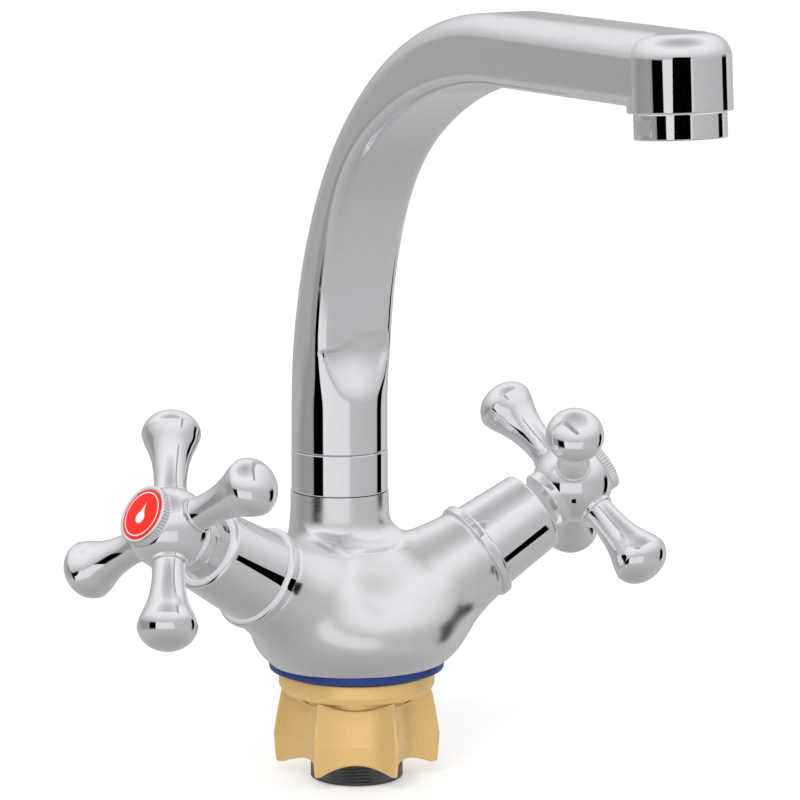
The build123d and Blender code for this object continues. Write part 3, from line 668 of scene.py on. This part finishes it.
# %% Handle hub
HUB_CENTRE, HUB_RADIUS, HUB_FRONT, HUB_BACK = 78.8, 11.75, 86.9, 68.3
front_angle = np.arcsin((HUB_FRONT - HUB_CENTRE) / HUB_RADIUS)
back_angle = -np.arccos(8.9 / HUB_RADIUS)
ball = np.linspace(back_angle, front_angle - 0.03, 40)
ball_profile = np.stack([HUB_RADIUS * np.cos(ball), HUB_CENTRE + HUB_RADIUS * np.sin(ball)], -1)
front_r = sqrt(HUB_RADIUS ** 2 - (HUB_FRONT - HUB_CENTRE) ** 2)
hub_profile = np.concatenate([
    [(3.95, 71.7), (8.0, 71.7), (8.1, 71.6), (8.1, HUB_BACK + 0.1), (8.2, HUB_BACK),
     (8.7, HUB_BACK), (8.85, HUB_BACK + 0.1), (8.9, HUB_BACK + 0.3)], ball_profile,
    [(front_r - 0.12, HUB_FRONT - 0.08), (front_r - 0.4, HUB_FRONT), (5.3, HUB_FRONT),
     (5.25, HUB_FRONT - 0.1), (5.25, 80.1), (5.15, 80.0), (3.95, 80.0)]])

# %% Handle arm
ARM_SEAT, ARM_WIDE, ARM_TIP = 10.4, 31.5, 37.8
waist_h = np.linspace(ARM_SEAT + 1.75, ARM_WIDE, 44)
waist_r = smooth_curve(waist_h, (11.8, 14.5, 18.5, 22.5, 26, 29, ARM_WIDE),
                       (4.75, 4.6, 4.85, 5.5, 6.55, 7.75, 8.45))
dome_t = np.linspace(0, pi / 2, 22)[1:]
dome = np.stack([8.45 * np.cos(dome_t) ** 0.8, ARM_WIDE + 6.25 * np.sin(dome_t) ** 1.15], -1)
dome[-1, 0] = 0.02
root = outline((0.02, ARM_SEAT - 3.0, 0), (3.0, ARM_SEAT - 3.0, 0.1), (3.0, ARM_SEAT, 0),
               (5.25, ARM_SEAT, 0.3), (5.25, ARM_SEAT + 1.3, 0.45), (4.8, ARM_SEAT + 1.5, 0.1),
               (4.75, ARM_SEAT + 1.7, 0), closed=False)
arm_profile = np.concatenate([root, np.stack([waist_r, waist_h], -1)[1:], dome])


def arm_place(valve, k):
    """Place of arm k: its own axis lies in the plane of the cross, 90 degrees from the next."""
    origin, axes = valve
    c, s = cos(k * pi / 2), sin(k * pi / 2)
    outwards = c * axes[0] + s * axes[1]
    beside = c * axes[1] - s * axes[0]
    return origin + axes[2] * HUB_CENTRE, np.array([beside, axes[2], outwards])

# %% [markdown]
# ## Knurled cap and coloured disc
# The front of each hub is closed by a cap with a knurled rim, and a red or blue disc set in it tells
# hot from cold. The knurl is a ripple of the radius round the rim. The disc is very slightly domed,
# and it has its own flat map of its face, on which the finish later draws a plain ring and a drop.

# %% Assemble both handles
CAP_RADIUS, CAP_TOP, DISC_RADIUS = 8.7, 89.6, 7.5


def knurled(r, h, t):
    """Outer radius minus a rounded groove repeated 54 times, fading at both edges of the rim."""
    fade = ease((h - HUB_FRONT - 0.2) / 0.3) * ease((CAP_TOP - 0.15 - h) / 0.4)
    groove = 0.38 * np.abs(np.sin(27 * t)) ** 0.7
    return np.where(r > 8.2, r - (0.38 - groove) * fade, r)


cap_profile = np.concatenate([
    [(0.02, HUB_FRONT - 2.3), (5.1, HUB_FRONT - 2.3), (5.1, HUB_FRONT), (8.3, HUB_FRONT),
     (8.62, HUB_FRONT + 0.12)],
    np.stack([np.full(9, 8.7), np.linspace(HUB_FRONT + 0.3, CAP_TOP - 0.45, 9)], -1),
    [(8.62, CAP_TOP - 0.2), (8.4, CAP_TOP - 0.04), (8.1, CAP_TOP), (7.7, CAP_TOP - 0.05),
     (7.56, CAP_TOP - 0.2), (7.56, CAP_TOP - 0.58), (7.4, CAP_TOP - 0.6), (0.02, CAP_TOP - 0.6)]])
disc_t = np.linspace(0, 1, 12)
disc_profile = np.concatenate([
    [(0.02, CAP_TOP - 0.6), (7.35, CAP_TOP - 0.6), (DISC_RADIUS, CAP_TOP - 0.45),
     (DISC_RADIUS, CAP_TOP - 0.12), (7.42, CAP_TOP), (7.25, CAP_TOP + 0.06)],
    np.stack([7.0 * (1 - disc_t) + 0.02, CAP_TOP + 0.08 + 0.11 * (1 - (1 - disc_t) ** 2)], -1)])
disc_pieces = {}
for side, turn in REST_TURN.items():
    here = valve_place(side, turn)
    body = side + "_handle"
    hub = lathe(f"{side}_handle_hub_skin", hub_profile, here, columns=128)
    dress(hub, side, "handle_hub", body)
    chrome_pieces.append(hub)
    for k in range(4):
        arm = lathe(f"{side}_handle_arm_{k + 1}", arm_profile, arm_place(here, k), columns=72, loop=False)
        dress(arm, side, "handle_arms", body)
        chrome_pieces.append(arm)
    cap = lathe(f"{side}_index_cap_skin", cap_profile, here, columns=432, loop=False, ripple=knurled)
    dress(cap, side, "index_cap", body)
    chrome_pieces.append(cap)

    def face_map(points, here=here):
        """Across and up on the disc's face, from 0 to 1."""
        local = (points - here[0]) @ np.array(valve_place(side)[1]).T
        across = -local[:, 1] if side == "hot" else local[:, 1]
        return np.stack([across, local[:, 0]], -1) / (2 * DISC_RADIUS) + 0.5

    disc = lathe(f"{side}_index_disc_skin", disc_profile, here, columns=128, loop=False, uv=face_map)
    dress(disc, side, "index_disc", body)
    disc_pieces[side] = disc

# %% [markdown]
# ## Finishes
# Chrome plate is a mirror, so almost all of its look comes from what it reflects. What makes it real is
# small: a faint unevenness of the polish, which a noise puts into roughness and bump. The numbers that
# are the same all over sit on the shader itself.

# %% A recipe for procedural finishes


def finish(name, colour, metallic, roughness, spread=0.03, scale=400.0, bump=0.02, deep=0.00002,
           tint=0.06, coat=0.0, stretch=(1, 1, 1), specular=0.5, sheen=0.0):
    """Shader whose colour, roughness and bump follow noise on Object coordinates."""
    material = bpy.data.materials.new(name)
    material.use_nodes = True
    tree = material.node_tree
    shader = tree.nodes["Principled BSDF"]
    shader.inputs["Metallic"].default_value = metallic
    shader.inputs["Coat Weight"].default_value = coat
    shader.inputs["Specular IOR Level"].default_value = specular
    place_node = tree.nodes.new("ShaderNodeTexCoord")
    mapping = tree.nodes.new("ShaderNodeMapping")
    mapping.inputs["Scale"].default_value = stretch
    noise = tree.nodes.new("ShaderNodeTexNoise")
    noise.inputs["Scale"].default_value = scale
    noise.inputs["Detail"].default_value = 4
    tree.links.new(place_node.outputs["Object"], mapping.inputs["Vector"])
    tree.links.new(mapping.outputs["Vector"], noise.inputs["Vector"])
    rough = tree.nodes.new("ShaderNodeMapRange")
    rough.inputs["To Min"].default_value = max(roughness - spread, 0.0)
    rough.inputs["To Max"].default_value = roughness + spread
    tree.links.new(noise.outputs["Fac"], rough.inputs["Value"])
    tree.links.new(rough.outputs["Result"], shader.inputs["Roughness"])
    ramp = tree.nodes.new("ShaderNodeValToRGB")
    ramp.color_ramp.elements[0].position = 0.35
    ramp.color_ramp.elements[1].position = 0.65
    ramp.color_ramp.elements[0].color = (*[c * (1 - tint) for c in colour], 1)
    ramp.color_ramp.elements[1].color = (*[min(c * (1 + tint), 1) for c in colour], 1)
    tree.links.new(noise.outputs["Fac"], ramp.inputs["Fac"])
    tree.links.new(ramp.outputs["Color"], shader.inputs["Base Color"])
    bump_node = tree.nodes.new("ShaderNodeBump")
    bump_node.inputs["Strength"].default_value = bump
    bump_node.inputs["Distance"].default_value = deep
    tree.links.new(noise.outputs["Fac"], bump_node.inputs["Height"])
    tree.links.new(bump_node.outputs["Normal"], shader.inputs["Normal"])
    return material


finishes = {
    "polished_chrome": finish("polished_chrome", (0.86, 0.865, 0.88), 1.0, 0.045, 0.015, 260, 0.012,
                              tint=0.012),
    "cast_chrome": finish("softly_polished_chrome", (0.86, 0.865, 0.875), 1.0, 0.23, 0.02, 260, 0.012,
                          tint=0.012),
    "plated_brass": finish("plated_brass", (0.80, 0.80, 0.81), 1.0, 0.14, 0.05, 700, 0.05),
    "plain_brass": finish("plain_brass", (0.78, 0.58, 0.26), 1.0, 0.24, 0.08, 900, 0.08),
    "steel": finish("screw_steel", (0.60, 0.60, 0.62), 1.0, 0.28, 0.08, 900, 0.08, stretch=(1, 1, 8)),
    "black_rubber": finish("black_rubber", (0.012, 0.012, 0.013), 0.0, 0.55, 0.12, 1400, 0.25),
    "ceramic": finish("lapped_ceramic", (0.88, 0.88, 0.86), 0.0, 0.12, 0.03, 800, 0.02, coat=0.3),
    "white_plastic": finish("white_acetal", (0.82, 0.82, 0.80), 0.0, 0.42, 0.08, 900, 0.06),
    "blue_seal": finish("blue_soft_ring", (0.002, 0.028, 0.19), 0.0, 0.36, 0.06, 900, 0.06, tint=0.1),
    "dark_thread": finish("dark_cut_thread", (0.10, 0.095, 0.09), 1.0, 0.34, 0.1, 900, 0.10, tint=0.2,
                          stretch=(1, 1, 6)),
    "satin_brass": finish("satin_gold_nut", (0.93, 0.62, 0.25), 0.55, 0.40, 0.05, 1500, 0.22,
                          deep=0.00003, tint=0.03),
}

# %% [markdown]
# The disc is glossy plastic with a printed mark. The print is drawn by arithmetic on the disc's own
# map: a thin ring is where the distance from the middle is close to a given radius, and a drop is a
# round belly whose width shrinks to a point above it. No lettering is needed to tell hot from cold.

# %% Printed discs


def calculate(tree, operation, first, second=0.0):
    """One arithmetic node on two sockets or numbers."""
    node = tree.nodes.new("ShaderNodeMath")
    node.operation = operation
    for socket, value in zip(node.inputs, (first, second)):
        if isinstance(value, (int, float)):
            socket.default_value = value
        else:
            tree.links.new(value, socket)
    return node.outputs[0]


def printed(name, colour):
    """Plastic whose map carries a white ring and a white drop."""
    material = finish(name, colour, 0.0, 0.22, 0.03, 900, 0.02, tint=0.03, coat=0.2, specular=0.25)
    tree = material.node_tree
    shader = tree.nodes["Principled BSDF"]
    shader.inputs["Coat Roughness"].default_value = 0.05
    spot = tree.nodes.new("ShaderNodeUVMap")
    spot.uv_map = "face_plane"
    parts = tree.nodes.new("ShaderNodeSeparateXYZ")
    tree.links.new(spot.outputs["UV"], parts.inputs[0])
    x = calculate(tree, "SUBTRACT", parts.outputs[0], 0.5)
    y = calculate(tree, "SUBTRACT", parts.outputs[1], 0.5)
    squared = calculate(tree, "ADD", calculate(tree, "MULTIPLY", x, x), calculate(tree, "MULTIPLY", y, y))
    far = calculate(tree, "SQRT", squared)
    off_ring = calculate(tree, "ABSOLUTE", calculate(tree, "SUBTRACT", far, 0.43))
    ring_mask = calculate(tree, "LESS_THAN", off_ring, 0.011)
    share = calculate(tree, "MULTIPLY", calculate(tree, "SUBTRACT", 0.24, y), 2.2)
    width = calculate(tree, "MULTIPLY", calculate(tree, "POWER", calculate(tree, "MAXIMUM", share, 0.0), 1.5),
                      0.19)
    cone = calculate(tree, "MULTIPLY", calculate(tree, "LESS_THAN", calculate(tree, "ABSOLUTE", x), width),
                     calculate(tree, "GREATER_THAN", y, -0.06))
    low = calculate(tree, "ADD", y, 0.07)
    belly = calculate(tree, "SQRT", calculate(tree, "ADD", calculate(tree, "MULTIPLY", x, x),
                                              calculate(tree, "MULTIPLY", low, low)))
    belly_mask = calculate(tree, "LESS_THAN", belly, 0.115)
    mask = calculate(tree, "MAXIMUM", ring_mask, calculate(tree, "MAXIMUM", cone, belly_mask))
    mix = tree.nodes.new("ShaderNodeMix")
    mix.data_type = "RGBA"
    base = shader.inputs["Base Color"].links[0].from_socket
    tree.links.new(mask, mix.inputs[0])
    tree.links.new(base, mix.inputs[6])
    mix.inputs[7].default_value = (0.85, 0.85, 0.85, 1)
    tree.links.new(mix.outputs[2], shader.inputs["Base Color"])
    return material


finishes["red_plastic"] = printed("hot_red_disc", (0.86, 0.012, 0.0))
finishes["blue_plastic"] = printed("cold_blue_disc", (0.008, 0.05, 0.55))

# %% Give every piece its finish


def wear(piece, material):
    """Put one material on a piece, in every slot it has."""
    if not piece.data.materials:
        piece.data.materials.append(material)
    for k in range(len(piece.data.materials)):
        piece.data.materials[k] = material


INSIDE = {
    "spout_tail": "plain_brass", "spout_seal_rings": "black_rubber",
    "spout_bearing_ring": "white_plastic", "aerator_gasket": "black_rubber",
    "aerator_insert": "white_plastic", "valve_body": "plated_brass", "valve_o_ring": "black_rubber",
    "seat_washer": "black_rubber", "fixed_disc": "ceramic", "moving_disc": "ceramic",
    "spindle": "steel", "handle_screw": "steel"}
for name, node in frame["nodes"].items():
    plain = name.split("_", 1)[1] if name.split("_")[0] in REST_TURN else name
    wear(node, finishes[INSIDE.get(plain, "polished_chrome")])
for piece in chrome_pieces:
    wear(piece, finishes["polished_chrome"])
wear(bpy.data.objects["body_casting_skin"], finishes["cast_chrome"])
wear(seal, finishes["blue_seal"])
wear(gasket, finishes["black_rubber"])
wear(shank, finishes["dark_thread"])
wear(nut, finishes["satin_brass"])
wear(disc_pieces["hot"], finishes["red_plastic"])
wear(disc_pieces["cold"], finishes["blue_plastic"])
print("finishes:", len(finishes), "chrome pieces:", len(chrome_pieces))

# %% [markdown]
# Mirror-bright parts would show small distorted pictures of each other all over the body, which reads
# as dirt. In a studio, black and white cards between the parts hide them. Here the handles,
# the sleeves and all inner parts are left out of what the others reflect; the body, the collar and
# the column stay in, because their dark seams need them.

# %% Keep reflections calm
REFLECTED = ("body_casting_skin", "swivel_collar_skin", "spout_skin", "deck_gasket_skin")
for piece in bpy.context.scene.objects:
    if piece.type == "MESH" and piece.name not in REFLECTED:
        piece.visible_glossy = False

# %% [markdown]
# ## Camera
# The camera is described the way a photographer would set it up: which way it looks, how far below
# level, how far away, and the point it looks at. A long lens keeps the mixer's proportions calm.

# %% Camera
AZIMUTH, DOWN, DISTANCE = 31.49, 9.64, 1.2141
AIM = Vector((0.0122, -0.0043, 0.0781))
LENS, FILM = 189.3, 36.0
a, e = radians(AZIMUTH), radians(DOWN)
look = Vector((sin(a) * cos(e), cos(a) * cos(e), -sin(e)))
camera_data = bpy.data.cameras.new("camera")
camera_data.lens, camera_data.sensor_width = LENS, FILM
camera_data.clip_start, camera_data.clip_end = 0.05, 20
camera = bpy.data.objects.new("camera", camera_data)
bpy.context.scene.collection.objects.link(camera)
camera.location = AIM - look * DISTANCE
camera.rotation_euler = look.to_track_quat("-Z", "Y").to_euler()
bpy.context.scene.camera = camera
print("camera at", [round(v, 3) for v in camera.location])

# %% [markdown]
# ## Light
# Chrome is photographed inside a white tent with a few dark strips beside it: the strips draw the
# crisp black lines that make the metal read as metal. The tent is the sky of this scene. Its
# brightness depends on the compass direction, and the strips stop at mid height so that
# surfaces facing upwards stay clean. The eye itself sees a plain white backdrop.

# %% Light tent
world = bpy.data.worlds.new("light_tent")
bpy.context.scene.world = world
world.use_nodes = True
sky = world.node_tree
sky.nodes.clear()
coordinate = sky.nodes.new("ShaderNodeTexCoord")
to_camera = Vector((-sin(a), -cos(a), 0))
right = Vector((cos(a), -sin(a), 0))


def towards(direction):
    """Share of the looking direction that points a given way."""
    node = sky.nodes.new("ShaderNodeVectorMath")
    node.operation = "DOT_PRODUCT"
    sky.links.new(coordinate.outputs["Generated"], node.inputs[0])
    node.inputs[1].default_value = direction
    return node.outputs["Value"]


compass = calculate(sky, "ARCTAN2", towards(right), towards(to_camera))
turn_share = calculate(sky, "ADD", calculate(sky, "MULTIPLY", compass, 1 / (2 * pi)), 0.5)
STRIPS = [(-180, 0.46), (-125, 0.46), (-104, 0.32), (-72, 0.34), (-64.5, 0.30), (-63.5, 0.0), (-39, 0.0), (-38, 0.84),
          (22, 0.80), (29, 0.56), (102, 0.50), (103, 0.0), (120, 0.0), (121, 0.66), (150, 0.54), (180, 0.44)]


def grey_scale(stops, share):
    """Ramp node through (position, brightness) stops, read at the given share."""
    node = sky.nodes.new("ShaderNodeValToRGB")
    marks = node.color_ramp.elements
    marks[0].position, marks[1].position = stops[0][0], stops[-1][0]
    for spot, (_, level) in ((marks[0], stops[0]), (marks[1], stops[-1])):
        spot.color = (level, level, level * 1.015, 1)
    for position, level in stops[1:-1]:
        marks.new(position).color = (level, level, level * 1.015, 1)
    sky.links.new(share, node.inputs["Fac"])
    return node.outputs["Color"]


strips = grey_scale([((angle + 180) / 360, level) for angle, level in STRIPS], turn_share)
height = towards(Vector((0, 0, 1)))
LEVELS = [(-90, 0.40), (-50, 0.46), (-20, 0.55), (12, 0.58), (30, 0.84), (52, 0.95), (68, 0.66), (90, 0.50)]
tone = grey_scale([(0.5 + 0.5 * sin(radians(angle)), level) for angle, level in LEVELS],
                  calculate(sky, "ADD", calculate(sky, "MULTIPLY", height, 0.5), 0.5))


def fade(start, end):
    """Smooth step of the height of the looking direction between two sines."""
    node = sky.nodes.new("ShaderNodeMapRange")
    node.interpolation_type = "SMOOTHSTEP"
    node.inputs["From Min"].default_value = start
    node.inputs["From Max"].default_value = end
    sky.links.new(height, node.inputs["Value"])
    return node.outputs["Result"]


off_strips = calculate(sky, "MAXIMUM", fade(0.02, 0.17), fade(-0.30, -0.48))
dome_mix = sky.nodes.new("ShaderNodeMix")
dome_mix.data_type = "RGBA"
sky.links.new(off_strips, dome_mix.inputs[0])
sky.links.new(strips, dome_mix.inputs[6])
sky.links.new(tone, dome_mix.inputs[7])
tent = sky.nodes.new("ShaderNodeBackground")
sky.links.new(dome_mix.outputs[2], tent.inputs["Color"])
backdrop = sky.nodes.new("ShaderNodeBackground")
backdrop.inputs["Color"].default_value = (1, 1, 1, 1)
chooser = sky.nodes.new("ShaderNodeMixShader")
light_path = sky.nodes.new("ShaderNodeLightPath")
output = sky.nodes.new("ShaderNodeOutputWorld")
sky.links.new(light_path.outputs["Is Camera Ray"], chooser.inputs[0])
sky.links.new(tent.outputs[0], chooser.inputs[1])
sky.links.new(backdrop.outputs[0], chooser.inputs[2])
sky.links.new(chooser.outputs[0], output.inputs[0])
bpy.context.scene.view_settings.view_transform = "Standard"

# %% [markdown]
# A soft lamp from the upper left gives the matt parts some shape. One dark card stands close to the
# outlet, where only reflections can see it: a photographer uses such a flag to put a dark core into
# a bright cylinder.

# %% Lamp, card and floor


def lamp(name, at, target, size, watts):
    """Square area lamp that looks at a point."""
    data = bpy.data.lights.new(name, "AREA")
    data.size, data.energy = size, watts
    item = bpy.data.objects.new(name, data)
    bpy.context.scene.collection.objects.link(item)
    item.location = at
    item.rotation_euler = (Vector(target) - Vector(at)).to_track_quat("-Z", "Y").to_euler()
    item.visible_glossy = False
    return item


lamp("soft_key", (-0.9, -0.9, 1.0), (0, 0, 0.05), 0.8, 9)


def card(name, centre, side, up, width, tall, shade, reach):
    """Flat card that only reflections see, and only from nearer than reach."""
    corners = [centre + side * sx * width / 2 + up * sy * tall / 2
               for sx, sy in ((-1, -1), (1, -1), (1, 1), (-1, 1))]
    item = mesh_piece(name, np.array([list(c) for c in corners]) / MM, [[0, 1, 2, 3]])
    material = bpy.data.materials.new(name)
    material.use_nodes = True
    tree = material.node_tree
    tree.nodes.clear()
    glow = tree.nodes.new("ShaderNodeEmission")
    glow.inputs["Color"].default_value = (shade, shade, shade, 1)
    clear = tree.nodes.new("ShaderNodeBsdfTransparent")
    path = tree.nodes.new("ShaderNodeLightPath")
    choose = tree.nodes.new("ShaderNodeMixShader")
    out = tree.nodes.new("ShaderNodeOutputMaterial")
    tree.links.new(calculate(tree, "GREATER_THAN", path.outputs["Ray Length"], reach), choose.inputs[0])
    tree.links.new(glow.outputs[0], choose.inputs[1])
    tree.links.new(clear.outputs[0], choose.inputs[2])
    tree.links.new(choose.outputs[0], out.inputs[0])
    wear(item, material)
    item.visible_camera = item.visible_diffuse = item.visible_shadow = False
    item.visible_transmission = item.visible_volume_scatter = False
    return item


def flag_beside(name, side, compass_angle, rise, wide):
    """Dark card in the direction that a valve sleeve mirrors to the eye, in line with the sleeve."""
    c, r = radians(compass_angle), radians(rise)
    away = (to_camera * cos(c) + right * sin(c)) * cos(r) + Vector((0, 0, sin(r)))
    low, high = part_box(side + "_valve_sleeve")
    middle = (Vector(low) + Vector(high)) / 2
    joint_axis = Vector(next(j["axis"] for j in frame["joints"] if j["name"] == side + "_handle_turn"))
    length = (joint_axis - away * joint_axis.dot(away)).normalized()
    mirror = (away - look).normalized() * 0.0128
    card(name, middle + mirror + away * 0.014, length.cross(away), length, wide, 0.019, 0.0, 0.021)


flag_beside("hot_sleeve_flag", "hot", 77, -8, 0.0055)
flag_beside("cold_sleeve_flag", "cold", 59, -23, 0.0055)

outlet_at = Vector(OUTLET[0] * MM)
CARD_AWAY = 0.025
card("outlet_flag", outlet_at + Vector((0, 0, 0.004 - 0.3 * CARD_AWAY * tan(e))) + to_camera * CARD_AWAY,
     right, Vector((0, 0, 1)), 0.0136, 0.031, 0.0, 0.05)

floor = mesh_piece("floor", np.array([[-3000, -3000, 0], [3000, -3000, 0], [3000, 3000, 0], [-3000, 3000, 0]])
                   + np.array([0, 0, cad_low[2] / MM - 0.3]), [[0, 1, 2, 3]])
pale = finish("pale_floor", (0.93, 0.93, 0.93), 0.0, 0.6, 0.05, 8, 0.0, tint=0.01)
pale.node_tree.nodes["Principled BSDF"].inputs["Emission Color"].default_value = (1, 1, 1, 1)
pale.node_tree.nodes["Principled BSDF"].inputs["Emission Strength"].default_value = 0.30
wear(floor, pale)
floor.visible_glossy = False
